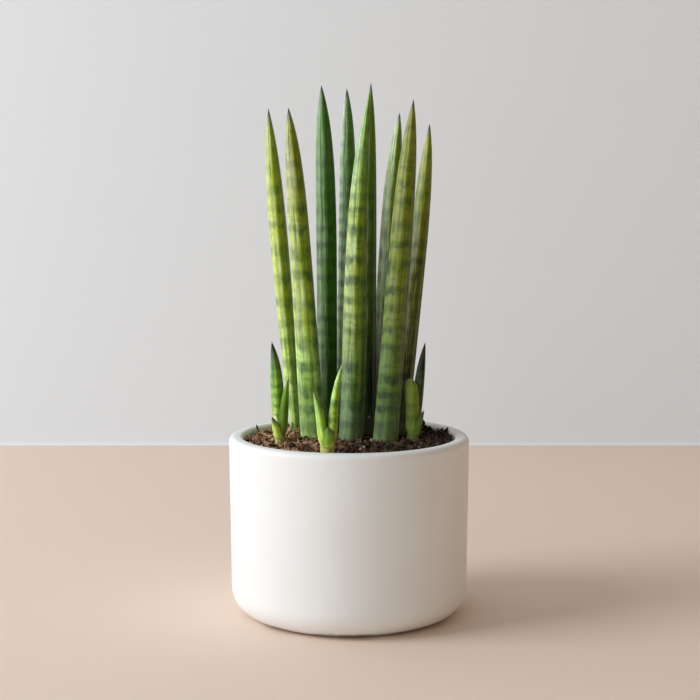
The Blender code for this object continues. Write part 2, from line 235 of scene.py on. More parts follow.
SKINS = {
    "leaf_1": Skin(
        (0.40, 0.43, 0.016), (0.41, 0.45, 0.018), (0.50, 0.62, 0.145),
        bands=0.90, spacing=13, dashes=0.45, bloom=0.78, seed=1.3,
        tip_length=5,
    ),
    "leaf_2": Skin(
        (0.25, 0.25, 0.006), (0.265, 0.335, 0.010), (0.44, 0.64, 0.130),
        bands=1.10, spacing=13, dashes=0.12, bloom=0.90, seed=7.9,
    ),
    # leaf_3's low colours are darkened: painted shade.
    "leaf_3": Skin(
        (0.080, 0.20, 0.020), (0.056, 0.165, 0.003), (0.042, 0.125, 0.003),
        bands=0.85, spacing=10, dashes=0.05, bloom=0.72, seed=13.1,
    ),
    "leaf_4": Skin(
        (0.095, 0.23, 0.03), (0.105, 0.26, 0.026), (0.10, 0.24, 0.020),
        bands=1.10, spacing=9, dashes=0.05, bloom=2.0, seed=21.7,
        tip_length=5,
    ),
    "leaf_5": Skin(
        (0.19, 0.33, 0.040), (0.24, 0.305, 0.005), (0.076, 0.160, 0.004),
        bands=1.28, spacing=12, dashes=0.10, bloom=1.05, seed=29.2,
        tip=(0.72, 0.68, 0.42), tip_length=1.6,
    ),
    # leaf_6's low colour is nearly black: painted shade at its foot.
    "leaf_6": Skin(
        (0.14, 0.22, 0.008), (0.078, 0.18, 0.002), (0.003, 0.015, 0.001),
        bands=0.60, spacing=12, dashes=0.05, bloom=1.1, seed=37.5,
    ),
    "leaf_7": Skin(
        (0.23, 0.33, 0.020), (0.15, 0.235, 0.003), (0.035, 0.09, 0.003),
        bands=0.70, spacing=12, dashes=0.10, bloom=2.1, seed=44.8,
    ),
    "leaf_8": Skin(
        (0.27, 0.27, 0.008), (0.182, 0.226, 0.002), (0.085, 0.17, 0.003),
        bands=1.28, spacing=12, dashes=0.10, bloom=0.35, seed=52.4,
    ),
    "leaf_9": Skin(
        (0.31, 0.34, 0.006), (0.155, 0.178, 0.001), (0.050, 0.078, 0.001),
        bands=0.90, spacing=12, dashes=0.20, bloom=1.10, seed=61.6,
    ),
    "fresh": Skin(
        (0.040, 0.15, 0.005), (0.26, 0.46, 0.030), (0.74, 0.80, 0.28),
        bands=1.05, spacing=5.5, dashes=0.05, bloom=0.52, seed=3.7,
        tip=(0.010, 0.016, 0.010), tip_length=7,
    ),
    "plain": Skin(
        (0.19, 0.38, 0.024), (0.12, 0.25, 0.003), (0.14, 0.26, 0.006),
        bands=0.25, spacing=8, dashes=0.05, bloom=0.12, seed=11.4,
        tip=(0.08, 0.10, 0.03), tip_length=2.5,
    ),
    "bright": Skin(
        (0.22, 0.38, 0.050), (0.32, 0.54, 0.024), (0.62, 0.80, 0.060),
        bands=0.25, spacing=8, dashes=0.05, bloom=0.70, seed=19.4,
        tip=(0.45, 0.55, 0.35), tip_length=2,
    ),
    "pale": Skin(
        (0.38, 0.56, 0.090), (0.27, 0.44, 0.014), (0.60, 0.78, 0.060),
        bands=1.20, spacing=7.5, dashes=0.05, bloom=0.75, seed=17.2,
        tip=(0.62, 0.64, 0.46), tip_length=2.5,
    ),
    "scale": Skin(
        (0.09, 0.20, 0.003), (0.27, 0.43, 0.008), (0.95, 0.95, 0.160),
        bands=0.10, spacing=6, dashes=0.0, bloom=0.12, seed=25.9,
        tip=(0.05, 0.12, 0.005), tip_length=1.5,
    ),
    "thorn": Skin(
        (0.14, 0.22, 0.016), (0.66, 0.84, 0.080), (0.95, 0.96, 0.200),
        bands=0.10, spacing=6, dashes=0.0, bloom=0.50, seed=33.3,
        tip=(0.03, 0.05, 0.02), tip_length=2.5,
    ),
    "dim": Skin(
        (0.05, 0.075, 0.006), (0.17, 0.26, 0.008), (0.30, 0.42, 0.014),
        bands=0.10, spacing=6, dashes=0.0, bloom=0.08, seed=35.1,
        tip=(0.04, 0.05, 0.02), tip_length=2.5,
    ),
    "dark": Skin(
        (0.010, 0.022, 0.006), (0.050, 0.092, 0.014), (0.26, 0.36, 0.06),
        bands=0.70, spacing=5, dashes=0.50, bloom=0.45, seed=31.3,
        tip=(0.008, 0.011, 0.008), tip_length=5,
    ),
    "olive": Skin(
        (0.24, 0.33, 0.02), (0.22, 0.31, 0.006), (0.42, 0.56, 0.030),
        bands=0.55, spacing=7, dashes=0.05, bloom=0.42, seed=41.6,
        tip=(0.42, 0.44, 0.22), tip_length=1.6,
    ),
    "stem": Skin(
        (0.52, 0.66, 0.06), (0.66, 0.74, 0.10), (0.60, 0.60, 0.14),
        bands=0.0, spacing=9, dashes=0.0, bloom=0.50, seed=47.1,
    ),
    "green_stem": Skin(
        (0.24, 0.33, 0.02), (0.26, 0.36, 0.02), (0.30, 0.38, 0.03),
        bands=0.0, spacing=9, dashes=0.0, bloom=0.20, seed=53.9,
    ),
}

LEAVES = {
    "leaf_1": Leaf((-32.0, 28), (-48.1, 38, 295.2), (-0.4, 1.5), 12.5, 30, -0.42, "leaf_1"),
    "leaf_2": Leaf((-20.5, 1), (-34.5, -5, 293.8), (1.0, -1.5), 12.6, 20, 0.24, "leaf_2"),
    "leaf_3": Leaf((-12.4, 15), (-16.2, 21, 307.9), (1.3, 1.0), 12.7, 23, -0.12, "leaf_3"),
    "leaf_4": Leaf((-2.5, 24), (-1.3, 32, 306.7), (0.8, 2.0), 10.6, 20, 0.08, "leaf_4"),
    "leaf_5": Leaf((1.0, -6), (11.8, -12, 303.2), (-3.0, -1.0), 13.4, 42, 0.08, "leaf_5"),
    "leaf_6": Leaf((9.6, 10), (12.7, 12, 308.9), (-1.1, 0.5), 12.0, 29, 0.0, "leaf_6"),
    "leaf_7": Leaf((17.2, 21.5), (29.9, 30, 292.3), (-1.4, 1.5), 11.2, 20, 0.02, "leaf_7"),
    "leaf_8": Leaf((20.8, -11), (36.1, -19, 297.8), (-0.6, -1.5), 13.2, 26, 0.14, "leaf_8"),
    "leaf_9": Leaf((29.0, 10), (46.9, 15, 285.5), (0.4, 1.0), 11.3, 24, 0.0, "leaf_9"),
}

OFFSHOOTS = {
    "offshoot_left": Offshoot(
        (-39.8, -12.0),
        6.2,
        111,
        "stem",
        (
            Leaf((-40.2, -11.4), (-44.5, -9.5, 160.5), (1.2, 0), 10.8, 16, -0.48, "fresh"),
            Leaf((-39.0, -12.8), (-34.8, -14.5, 139.7), (-0.6, 0), 7.0, 11, -0.25, "plain"),
            Leaf((-40.0, -13.0), (-44.2, -18.0, 118.2), (0.4, 0.4), 6.2, 5, -0.12, "thorn"),
        ),
    ),
    "offshoot_front": Offshoot(
        (-11.9, -45.5),
        8.4,
        113,
        "stem",
        (
            Leaf((-13.0, -45.5), (-20.0, -47.0, 136.5), (1.2, 0), 7.2, 10, -0.10, "bright"),
            Leaf((-10.6, -45.1), (-3.5, -43.0, 151.9), (-1.5, 0), 7.0, 15, -0.10, "pale"),
            Leaf((-12.2, -44.3), (-14.4, -42.0, 127.4), (0.3, 0), 3.8, 6, 0.0, "plain"),
            Leaf((-11.9, -46.0), (-11.4, -51.0, 117.5), (0, 0.8), 9.0, 4, -0.14, "scale"),
        ),
    ),
    "offshoot_right": Offshoot(
        (36.9, -5.5),
        7.0,
        111,
        "green_stem",
        (
            Leaf((37.4, -4.8), (44.2, -2.0, 159.5), (-0.7, 0), 8.5, 17, -0.34, "dark"),
            Leaf((36.8, -6.0), (35.0, -7.5, 139.0), (0.8, 0), 8.3, 1.7, -0.12, "olive"),
            Leaf((37.4, -6.6), (43.3, -11.0, 120.9), (-0.4, 0.4), 5.8, 6, -0.10, "dim"),
        ),
    ),
}


class Wire:
    """An output of a node. Plain arithmetic on it adds Math nodes to its tree."""

    def __init__(self, tree, socket):
        self.tree = tree
        self.socket = socket

    def __add__(self, other):
        return calc("ADD", self, other)

    def __radd__(self, other):
        return calc("ADD", other, self)

    def __sub__(self, other):
        return calc("SUBTRACT", self, other)

    def __rsub__(self, other):
        return calc("SUBTRACT", other, self)

    def __mul__(self, other):
        return calc("MULTIPLY", self, other)

    def __rmul__(self, other):
        return calc("MULTIPLY", other, self)

    def __truediv__(self, other):
        return calc("DIVIDE", self, other)

    def __neg__(self):
        return calc("MULTIPLY", self, -1)


def feed(tree, socket, value):
    """Joins a socket to a wire, or sets it to a constant."""
    if isinstance(value, Wire):
        tree.links.new(value.socket, socket)
    elif socket.type == "RGBA" and len(value) == 3:
        socket.default_value = (*value, 1)
    else:
        socket.default_value = value


def add(tree, kind, inputs=None, **settings):
    """Adds a node, with its settings, and feeds its inputs, named or numbered."""
    made = tree.nodes.new(kind)
    for name, value in settings.items():
        setattr(made, name, value)
    for name, value in (inputs or {}).items():
        feed(tree, made.inputs[name], value)
    return made


def out(node, name=0):
    """One output of a node, as a wire."""
    return Wire(node.id_data, node.outputs[name])


def calc(operation, *terms):
    """The result of a Math node on one to three wires and numbers."""
    tree = next(term.tree for term in terms if isinstance(term, Wire))
    return out(add(tree, "ShaderNodeMath", dict(enumerate(terms)), operation=operation))


def vector(tree, x=0.0, y=0.0, z=0.0):
    """A vector from three wires or numbers."""
    return out(add(tree, "ShaderNodeCombineXYZ", {"X": x, "Y": y, "Z": z}))


def vector_calc(operation, *terms):
    """The result of a Vector Math node on wires."""
    tree = terms[0].tree
    return out(add(tree, "ShaderNodeVectorMath", dict(enumerate(terms)), operation=operation))


def stretched(direction, amount):
    """A vector wire scaled by a number."""
    inputs = {0: direction, "Scale": amount}
    return out(add(direction.tree, "ShaderNodeVectorMath", inputs, operation="SCALE"))


def parts(direction):
    """The X, Y and Z wires of a vector wire."""
    split = add(direction.tree, "ShaderNodeSeparateXYZ", {0: direction})
    return out(split, "X"), out(split, "Y"), out(split, "Z")


def ramp(value, low, high, start=0.0, end=1.0):
    """Goes smoothly from start to end as the value goes from low to high, and stays there."""
    spans = {"Value": value, 1: low, 2: high, 3: start, 4: end}
    return out(add(value.tree, "ShaderNodeMapRange", spans, interpolation_type="SMOOTHSTEP"))


def grain(place, scale=1.0, detail=1.0, roughness=0.5):
    """Noise from 0 to 1 at a place, which is a vector wire, or a number's wire for a line's noise."""
    line = place.socket.type == "VALUE"
    spans = {"Scale": scale, "Detail": detail, "Roughness": roughness}
    spans["W" if line else "Vector"] = place
    return out(add(place.tree, "ShaderNodeTexNoise", spans, noise_dimensions="1D" if line else "3D"))


def blend(factor, first, second, way="MIX"):
    """The first colour at factor 0, and at 1 the second one, or both multiplied if way says so."""
    inputs = {0: factor, 6: first, 7: second}
    made = add(factor.tree, "ShaderNodeMix", inputs, data_type="RGBA", blend_type=way)
    return out(made, 2)


def sockets(kind, *titles):
    """Named sockets of one kind, for a node group's inputs or outputs."""
    return [(title, f"NodeSocket{kind}") for title in titles]


def new_tree(name, kind, inputs, outputs):
    """An empty node group with named inputs and outputs, and the wires of its inputs by name."""
    tree = bpy.data.node_groups.new(name, kind)
    for title, socket in inputs:
        tree.interface.new_socket(title, in_out="INPUT", socket_type=socket)
    for title, socket in outputs:
        tree.interface.new_socket(title, in_out="OUTPUT", socket_type=socket)
    given = add(tree, "NodeGroupInput")
    return tree, {title: out(given, title) for title, _ in inputs}


def finish_tree(tree, results):
    """Joins wires to the named outputs of a node group."""
    add(tree, "NodeGroupOutput", results)


def in_scene(name, data):
    """An object in the scene that shows this mesh, light or camera."""
    made = bpy.data.objects.new(name, data)
    bpy.context.scene.collection.objects.link(made)
    return made


def make_camera():
    """The camera at the photo's viewing angle, tilted a little down."""
    data = bpy.data.cameras.new("camera")
    data.lens = CAMERA_LENS
    data.sensor_width = CAMERA_SENSOR
    camera = in_scene("camera", data)
    camera.location = (CAMERA_SIDE, -CAMERA_DISTANCE, CAMERA_HEIGHT)
    camera.rotation_euler = (math.pi / 2 - CAMERA_TILT, 0, 0)
    bpy.context.scene.camera = camera


def hang_lamp(name, lamp):
    """Puts one lamp in the scene, turned to the plant."""
    turn, rise = math.radians(lamp.azimuth), math.radians(lamp.elevation)
    data = bpy.data.lights.new(name, "AREA")
    data.shape = "SQUARE"
    data.size = lamp.size
    data.energy = lamp.watts
    data.color = lamp.colour
    light = in_scene(name, data)
    level = math.cos(rise)
    away = Vector((math.sin(turn) * level, -math.cos(turn) * level, math.sin(rise)))
    light.location = LAMP_TARGET + away * lamp.distance
    light.rotation_euler = away.to_track_quat("Z", "Y").to_euler()
    light.visible_camera = False
    light.visible_glossy = lamp.shines


def make_lights():
    """The lamps, and a dim warm room around them that shows in no reflection."""
    for name, lamp in LAMPS.items():
        hang_lamp(name, lamp)
    world = bpy.data.worlds.new("soft_room")
    world.use_nodes = True
    sky = world.node_tree.nodes["Background"]
    sky.inputs["Color"].default_value = (*ROOM_COLOUR, 1)
    sky.inputs["Strength"].default_value = ROOM_STRENGTH
    world.cycles_visibility.glossy = False
    bpy.context.scene.world = world


def new_material(name):
    """A Principled material, with its tree and its shader."""
    made = bpy.data.materials.new(name)
    made.use_nodes = True
    return made, made.node_tree, made.node_tree.nodes["Principled BSDF"]


def stage_material(name, colour):
    """Plain matt paint for the floor and the wall."""
    made, _, surface = new_material(name)
    surface.inputs["Base Color"].default_value = (*colour, 1)
    surface.inputs["Roughness"].default_value = STAGE_ROUGHNESS
    return made


def make_stage():
    """A pale floor and a pale wall, joined by a small cove."""
    path = [(-FLOOR_REACH, 0.0)]
    for n in range(COVE_STEPS + 1):
        turn = math.pi / 2 * n / COVE_STEPS
        out_of_corner, rise = 1 - math.sin(turn), 1 - math.cos(turn)
        path.append((FLOOR_BACK - COVE_RADIUS * out_of_corner, COVE_RADIUS * rise))
    path.append((FLOOR_BACK, WALL_HEIGHT))
    mesh = bpy.data.meshes.new("stage")
    points = [(side * FLOOR_REACH, y, z) for y, z in path for side in (-1, 1)]
    faces = [(2 * n, 2 * n + 1, 2 * n + 3, 2 * n + 2) for n in range(len(path) - 1)]
    mesh.from_pydata(points, [], faces)
    mesh.materials.append(stage_material("pale_floor", FLOOR_COLOUR))
    mesh.materials.append(stage_material("pale_wall", WALL_COLOUR))
    for face in mesh.polygons:
        face.material_index = 0 if face.index == 0 else 1
    stage = in_scene("stage", mesh)


def set_surface(surface, colour, roughness, height, depth):
    """Feeds a shader's colour, roughness and fine relief, whose height goes from 0 to 1 and stands
    for a depth in metres."""
    tree = colour.tree
    feed(tree, surface.inputs["Base Color"], colour)
    feed(tree, surface.inputs["Roughness"], roughness)
    bump = add(tree, "ShaderNodeBump", {"Height": height, "Distance": depth})
    feed(tree, surface.inputs["Normal"], out(bump, "Normal"))


def attribute(tree, name, reading="Fac"):
    """A named attribute of the mesh, as a number's wire, or as a vector wire if reading says so."""
    return out(add(tree, "ShaderNodeAttribute", attribute_name=name), reading)


SKIN_INPUTS = (
    *sockets("Color", "Top", "Middle", "Low", "Tip"),
    *sockets("Float", "Tip length", "Bands", "Spacing", "Dashes", "Bloom", "Flutes", "Wear", "Seed"),
)
SKIN_OUTPUTS = (
    *sockets("Color", "Colour"),
    *sockets("Float", "Roughness", "Height"),
)


class Spot(NamedTuple):
    """Wires for a spot on a leaf's skin: the direction round the leaf, the height up it and the
    length left to its tip, both in mm, the share of its length, where the spot lies in the noise,
    and how streaked, finely lined and patchy the skin is there."""

    east: Wire
    north: Wire
    height: Wire
    to_tip: Wire
    share: Wire
    place: Wire
    streak: Wire
    fine: Wire
    patch: Wire


def skin_noise(east, north, place, turns, length, detail=1):
    """Noise that closes round a leaf: turns is how fine it is round, and length, in mm, up it."""
    return grain(vector(east.tree, east * turns, north * turns, place / length), detail=detail)


def skin_spot(tree, given):
    """The spot that is shaded, read from the attributes that the leaf's own tree stores."""
    east, north, height = parts(attribute(tree, "skin", "Vector"))
    place = height + given["Seed"] * 100
    return Spot(
        east=east,
        north=north,
        height=height,
        to_tip=attribute(tree, "to_tip"),
        share=attribute(tree, "share"),
        place=place,
        streak=ramp(skin_noise(east, north, place, 6, 24, 2), 0.30, 0.70),
        fine=ramp(skin_noise(east, north, place, 15, 12), 0.28, 0.72),
        patch=skin_noise(east, north, place, 1.5, 30, 2),
    )


def skin_ground(spot, given):
    """The skin's green, from its low colour to its top one, with streaks, fine lines and patches."""
    wear = given["Wear"]
    step = spot.share + (spot.patch - 0.5) * 0.5
    ground = blend(ramp(step, 0.12, 0.42), given["Low"], given["Middle"])
    ground = blend(ramp(step, 0.52, 0.86), ground, given["Top"])
    ground = blend(spot.streak * 0.55 * wear, ground, STREAK_TINT, "MULTIPLY")
    ground = blend(spot.fine * 0.30 * wear, ground, FINE_TINT, "MULTIPLY")
    return blend(ramp(spot.patch, 0.35, 0.65) * 0.45 * wear, ground, PATCH_TINT, "MULTIPLY")


def skin_bands(spot, given, ground):
    """The ground with its cross bands, mottling and thin rungs, and how strong the bands are.

    The bands lie at uneven steps, are broken up by the mottling, and fade in places and higher up."""
    east, north, place, streak, patch = spot.east, spot.north, spot.place, spot.streak, spot.patch
    spacing = given["Spacing"]
    lifted = place + (streak - 0.5) * 0.7 + (spot.fine - 0.5) * 0.5 + (patch - 0.5) * spacing * 0.45
    phase = lifted / spacing + 1.8 * grain(place / 45)
    wave = 0.5 + 0.5 * calc("COSINE", phase * 2 * math.pi)
    mottle = skin_noise(east, north, place, 2.6, 6, 2)
    drift = skin_noise(east, north, place + 1800, 0.9, 45)

    band = ramp(wave + (patch - 0.5) * 1.1, 0.24, 1.0) * (0.60 + 0.40 * streak)
    band = band * (0.80 + 0.20 * spot.fine) * ramp(mottle, 0.30, 0.68, 0.50, 1.0)
    faded = ramp(drift, 0.36, 0.56, 0.55, 1.0) * ramp(spot.share, 0.55, 0.85, 1.0, 0.4)
    strength = band * faded * given["Bands"]

    banded = blend(strength, ground, BAND_TINT, "MULTIPLY")
    banded = blend(ramp(mottle, 0.46, 0.66) * 0.35 * given["Wear"], banded, MOTTLE_TINT, "MULTIPLY")
    rung = skin_noise(east, north, lifted, 0.8, spacing * 0.22)
    rungs = ramp(rung, 0.52, 0.68) * given["Bands"] * 0.55
    return blend(rungs, banded, RUNG_TINT, "MULTIPLY"), strength


def skin_grooves(spot, given, banded):
    """The skin with dark dashes and darker grooves along it, the grooves partly streaked lines and
    partly painted shade in the flutes, and how deep in a groove a spot is.
    """
    angle = calc("ARCTAN2", spot.north, spot.east)
    groove = ramp(calc("COSINE", angle * given["Flutes"]), 0.35, 1.0)
    dash = ramp(skin_noise(spot.east, spot.north, spot.place, 6, 9), 0.56, 0.70)
    dashes = dash * given["Dashes"] * (0.3 + 0.7 * groove)
    dashed = blend(dashes, banded, DASH_TINT, "MULTIPLY")
    # Partly painted shade: the skin darkens at the bottom of each flute, more where it is streaked.
    lines = groove * (0.08 + 0.50 * spot.streak) * given["Wear"]
    return blend(lines, dashed, GROOVE_SHADE_TINT, "MULTIPLY"), groove


def skin_sheen(spot, given, lined, banding):
    """The skin with painted sheen, a pale cloudy highlight on its left side towards the key lamp, and
    painted shade on its right side, and how much painted light a spot has.
    """
    streak = spot.streak - 0.5
    # How far a spot faces left, towards the key lamp, with some streaking: this is where the painted
    # sheen lies.
    wear_and_lit_side = -0.90 * spot.east - 0.44 * spot.north + streak * 0.30
    cloud = ramp(skin_noise(spot.east, spot.north, spot.place, 3, 12, 2), 0.25, 0.65, 0.6, 1.0)
    cover = cloud * (1 - 0.55 * banding)
    painted_light = ramp(wear_and_lit_side, -0.06, 0.80) * cover * calc("MINIMUM", given["Bloom"], 1)
    sheen_weight = ramp(wear_and_lit_side + streak * 0.45, 0.28, 0.94) * cover * given["Bloom"]
    sheen_weight = sheen_weight * ramp(spot.share, 0.0, 0.5, 0.6, 1.0)
    sheen_added = stretched(vector(spot.east.tree, *SHEEN_COLOUR), sheen_weight)
    # Painted shade: the skin darkens towards its right side, away from the key lamp.
    shade = ramp(spot.east, 0.30, 0.85) * 0.12
    return vector_calc("ADD", stretched(lined, 1 + 0.85 * painted_light - shade), sheen_added), painted_light


def skin_ends(spot, given, skin):
    """The skin with its tip, the halo below it, and a foot that pales and is stained by the soil."""
    wear = given["Wear"]
    streak = spot.streak - 0.5
    ragged = (spot.to_tip + streak * 1.6) / given["Tip length"]
    tipped = blend(ramp(ragged, 2.6, 1.2) * 0.35, skin, TIP_HALO_COLOUR)
    tipped = blend(ramp(ragged, 1.5, 0.3), tipped, given["Tip"])
    footed = blend(ramp(spot.height + streak * 8, 24, 2) * 0.25 * wear, tipped, FOOT_COLOUR)
    dirt = ramp(spot.height + (spot.fine - 0.5) * 2, 2.0, 0.2) * 0.55 * wear
    return blend(dirt, footed, SOIL_STAIN)


def skin_group():
    """The colours and relief of leaf skin, from its ground up to its tip and foot.

    It reads the attribute skin, which is the direction round the leaf and the height up it in
    millimetres, share, the share of its length, and to_tip, the millimetres left to its tip."""
    tree, given = new_tree("leaf_skin", "ShaderNodeTree", SKIN_INPUTS, SKIN_OUTPUTS)
    spot = skin_spot(tree, given)
    banded, banding = skin_bands(spot, given, skin_ground(spot, given))
    lined, groove = skin_grooves(spot, given, banded)
    sheened, painted_light = skin_sheen(spot, given, lined, banding)
    colour = skin_ends(spot, given, sheened)
    roughness = 0.30 + (spot.streak - 0.5) * 0.08 + painted_light * 0.15
    relief = spot.fine * 0.30 + spot.streak * 0.35 + (1 - groove) * 0.35
    finish_tree(tree, {"Colour": colour, "Roughness": roughness, "Height": relief})
    return tree


def leaf_material(name, flutes, group, wear, gloss):
    """The skin of one leaf or of one kind of blade. Wear is how streaked and worn it is."""
    made, tree, surface = new_material(f"skin_{name}")
    look = add(tree, "ShaderNodeGroup", node_tree=group)
    for field, value in SKINS[name]._asdict().items():
        feed(tree, look.inputs[field.replace("_", " ").capitalize()], value)
    feed(tree, look.inputs["Flutes"], flutes)
    feed(tree, look.inputs["Wear"], wear)
    colour, roughness, height = (out(look, name) for name in ("Colour", "Roughness", "Height"))
    set_surface(surface, colour, roughness, height, SKIN_RELIEF)
    surface.inputs["Specular IOR Level"].default_value = gloss
    return made


def glaze():
    """Matt white glaze: faint clouding and pin marks, soil dust and painted shade inside the rim, a
    bare foot ring.
    """
    made, tree, surface = new_material("white_glaze")
    place = out(add(tree, "ShaderNodeTexCoord"), "Object")
    x, y, z = parts(place)
    reach = calc("SQRT", x * x + y * y)
    clouds = grain(place, scale=28, detail=3)
    speckle = grain(place, scale=900, detail=2)
    smears = grain(vector(tree, x * 60, y * 60, z * 140), detail=4, roughness=0.65)
    white = blend(ramp(clouds, 0.3, 0.7), (0.885, 0.885, 0.878), (0.865, 0.862, 0.852))
    white = blend(ramp(speckle, 0.66, 0.78) * 0.25, white, (0.62, 0.57, 0.50))
    # Soil dust and painted shade: the inside of the wall darkens down towards the soil, in smears.
    inside = ramp(reach, POT_INSIDE_RADIUS + 1.2 * MM, POT_INSIDE_RADIUS + 0.4 * MM)
    low = ramp(z, POT_HEIGHT - 0.6 * MM, POT_HEIGHT - 4.6 * MM)
    dust_and_shade = blend(inside * low * ramp(smears, 0.30, 0.72), white, (0.30, 0.22, 0.16))
    foot = ramp(z, 0.9 * MM, 0.35 * MM)
    colour = blend(foot, dust_and_shade, (0.66, 0.58, 0.48))
    roughness = 0.46 + clouds * 0.08 + foot * 0.35
    pitted = speckle * 0.4 + grain(place, scale=240, detail=2) * 0.6
    set_surface(surface, colour, roughness, pitted, 0.03 * MM)
    surface.inputs["Specular IOR Level"].default_value = 0.45
    return made


def soil_material():
    """Damp potting mix between the crumbs: near black, with some brown grains."""
    made, tree, surface = new_material("damp_soil")
    place = out(add(tree, "ShaderNodeTexCoord"), "Object")
    coarse = grain(place, scale=420, detail=4, roughness=0.7)
    fine = grain(place, scale=1700, detail=2)
    colour = blend(ramp(coarse, 0.35, 0.7), (0.010, 0.006, 0.004), (0.055, 0.028, 0.014))
    colour = blend(ramp(fine, 0.64, 0.78), colour, (0.14, 0.078, 0.04))
    set_surface(surface, colour, 0.82 + fine * 0.15, coarse * 0.7 + fine * 0.3, 0.35 * MM)
    return made


def mix_material(name, dark, light, warm_side):
    """One kind of bit in the potting mix. Each bit has its own tone, from its attribute tint, and the
    bits are lighter and redder towards the left: partly a drier, redder mix there, partly painted
    shade that darkens the bits towards the right, where the leaves shade the soil."""
    made, tree, surface = new_material(name)
    place = out(add(tree, "ShaderNodeTexCoord"), "Object")
    x, _, _ = parts(place)
    tint = attribute(tree, "tint")
    wear_and_lit_side = grain(place, scale=900, detail=3, roughness=0.6)
    # Partly painted shade: bits on the right are darker, bits on the left lighter and redder.
    dry_and_lit_side = ramp(x + (tint - 0.5) * 0.05, 0.030, -0.030)
    shade = calc("POWER", tint, 1.25) * (0.28 + 0.72 * dry_and_lit_side) + (wear_and_lit_side - 0.5) * 0.35
    colour = blend(ramp(shade, 0.0, 0.85), dark, light)
    colour = blend(dry_and_lit_side * 0.45, colour, warm_side, "MULTIPLY")
    set_surface(surface, colour, 0.78 + wear_and_lit_side * 0.2, wear_and_lit_side, 0.12 * MM)
    return made


LEAF_INPUTS = (
    *sockets("Geometry", "Geometry"),
    *sockets("Vector", "Foot", "Tip", "Bow"),
    *sockets("Float", "Girth", "Point", "Swell", "Planted", "Start fullness", "Start share"),
    *sockets("Float", "Flutes", "Channel", "Channel side"),
    *sockets("Int", "Sides", "Rows"),
    *sockets("Material", "Finish"),
)
GEOMETRY_OUTPUT = sockets("Geometry", "Geometry")


def store(tree, geometry, name, value, kind, domain="POINT"):
    """Keeps a field on the points or the copies of a geometry under a name."""
    inputs = {"Geometry": geometry, "Name": name, "Value": value}
    return out(add(tree, "GeometryNodeStoreNamedAttribute", inputs, data_type=kind, domain=domain))


def finish_geometry(tree, geometry, finish):
    """Ends a Geometry Nodes tree with plain geometry in one material."""
    real = out(add(tree, "GeometryNodeRealizeInstances", {"Geometry": geometry}))
    coated = out(add(tree, "GeometryNodeSetMaterial", {"Geometry": real, "Material": finish}))
    finish_tree(tree, {"Geometry": coated})
    return tree


def leaf_tree():
    """Geometry Nodes for one round tapering leaf, with flutes, fine ribs and a channel down it.

    A cylinder of unit size gives the points. Its height becomes the share of the leaf's length,
    with the rows closer together towards the tip, and its angle the way round the leaf."""
    tree, given = new_tree("grown_leaf", "GeometryNodeTree", LEAF_INPUTS, GEOMETRY_OUTPUT)
    size = {"Vertices": given["Sides"], "Side Segments": given["Rows"], "Radius": 1.0, "Depth": 1.0}
    bar = out(add(tree, "GeometryNodeMeshCylinder", size, fill_type="TRIANGLE_FAN"), "Mesh")
    x, y, z = parts(out(add(tree, "GeometryNodeInputPosition")))
    angle = calc("ARCTAN2", y, x)
    east, north = calc("COSINE", angle), calc("SINE", angle)
    reach = calc("MINIMUM", calc("SQRT", x * x + y * y), 1)

    across = vector_calc("SUBTRACT", given["Tip"], given["Foot"])
    length = parts(across)[2]
    bottom = -given["Planted"] / length
    level = 1 - calc("POWER", calc("MAXIMUM", 0.5 - z, 0), TIP_CROWDING)
    share = bottom + (1 - bottom) * level
    along = calc("MAXIMUM", share, 0)
    above = 1 - along
    bow = stretched(given["Bow"], BOW_PEAK * along * along * above)
    centre = vector_calc("ADD", vector_calc("ADD", given["Foot"], stretched(across, share)), bow)

    gathered = 1 - calc("EXPONENT", -(above * length / given["Point"]))
    swollen = 1 + given["Swell"] * above * above
    full = ramp(share, bottom, bottom + given["Start share"], given["Start fullness"], 1)
    lumps = grain(vector(tree, east, north, share * length / LUMP_LENGTH))
    uneven = 1 + (lumps - 0.5) * UNEVENNESS * ramp(share, 0.97, 0.80)
    radius = given["Girth"] / 2 * gathered * swollen * full * uneven

    turn = calc("WRAP", angle - given["Channel side"], math.pi, -math.pi)
    off = turn / CHANNEL_SPREAD
    channel = 1 - given["Channel"] * calc("EXPONENT", -(off * off))
    worn = grain(vector(tree, east * 1.4, north * 1.4, share * 2), detail=0)
    flute = 1 - FLUTE_DEPTH * (0.3 + 1.3 * worn) * calc("COSINE", angle * given["Flutes"])
    rib = 1 - RIB_DEPTH * calc("COSINE", angle * given["Flutes"] * RIBS_PER_FLUTE)
    outward = stretched(vector(tree, east, north), radius * channel * flute * rib * reach)

    skin = vector(tree, east, north, share * length / MM)
    stored = store(tree, bar, "skin", skin, "FLOAT_VECTOR")
    stored = store(tree, stored, "share", share, "FLOAT")
    stored = store(tree, stored, "to_tip", (1 - share) * length / MM, "FLOAT")
    placed = {"Geometry": stored, "Position": vector_calc("ADD", centre, outward)}
    grown = out(add(tree, "GeometryNodeSetPosition", placed))
    weld = {"Geometry": grown, "Distance": LEAF_WELD_DISTANCE}
    closed = out(add(tree, "GeometryNodeMergeByDistance", weld))
    smooth = out(add(tree, "GeometryNodeSetShadeSmooth", {"Geometry": closed}))
    return finish_geometry(tree, smooth, given["Finish"])


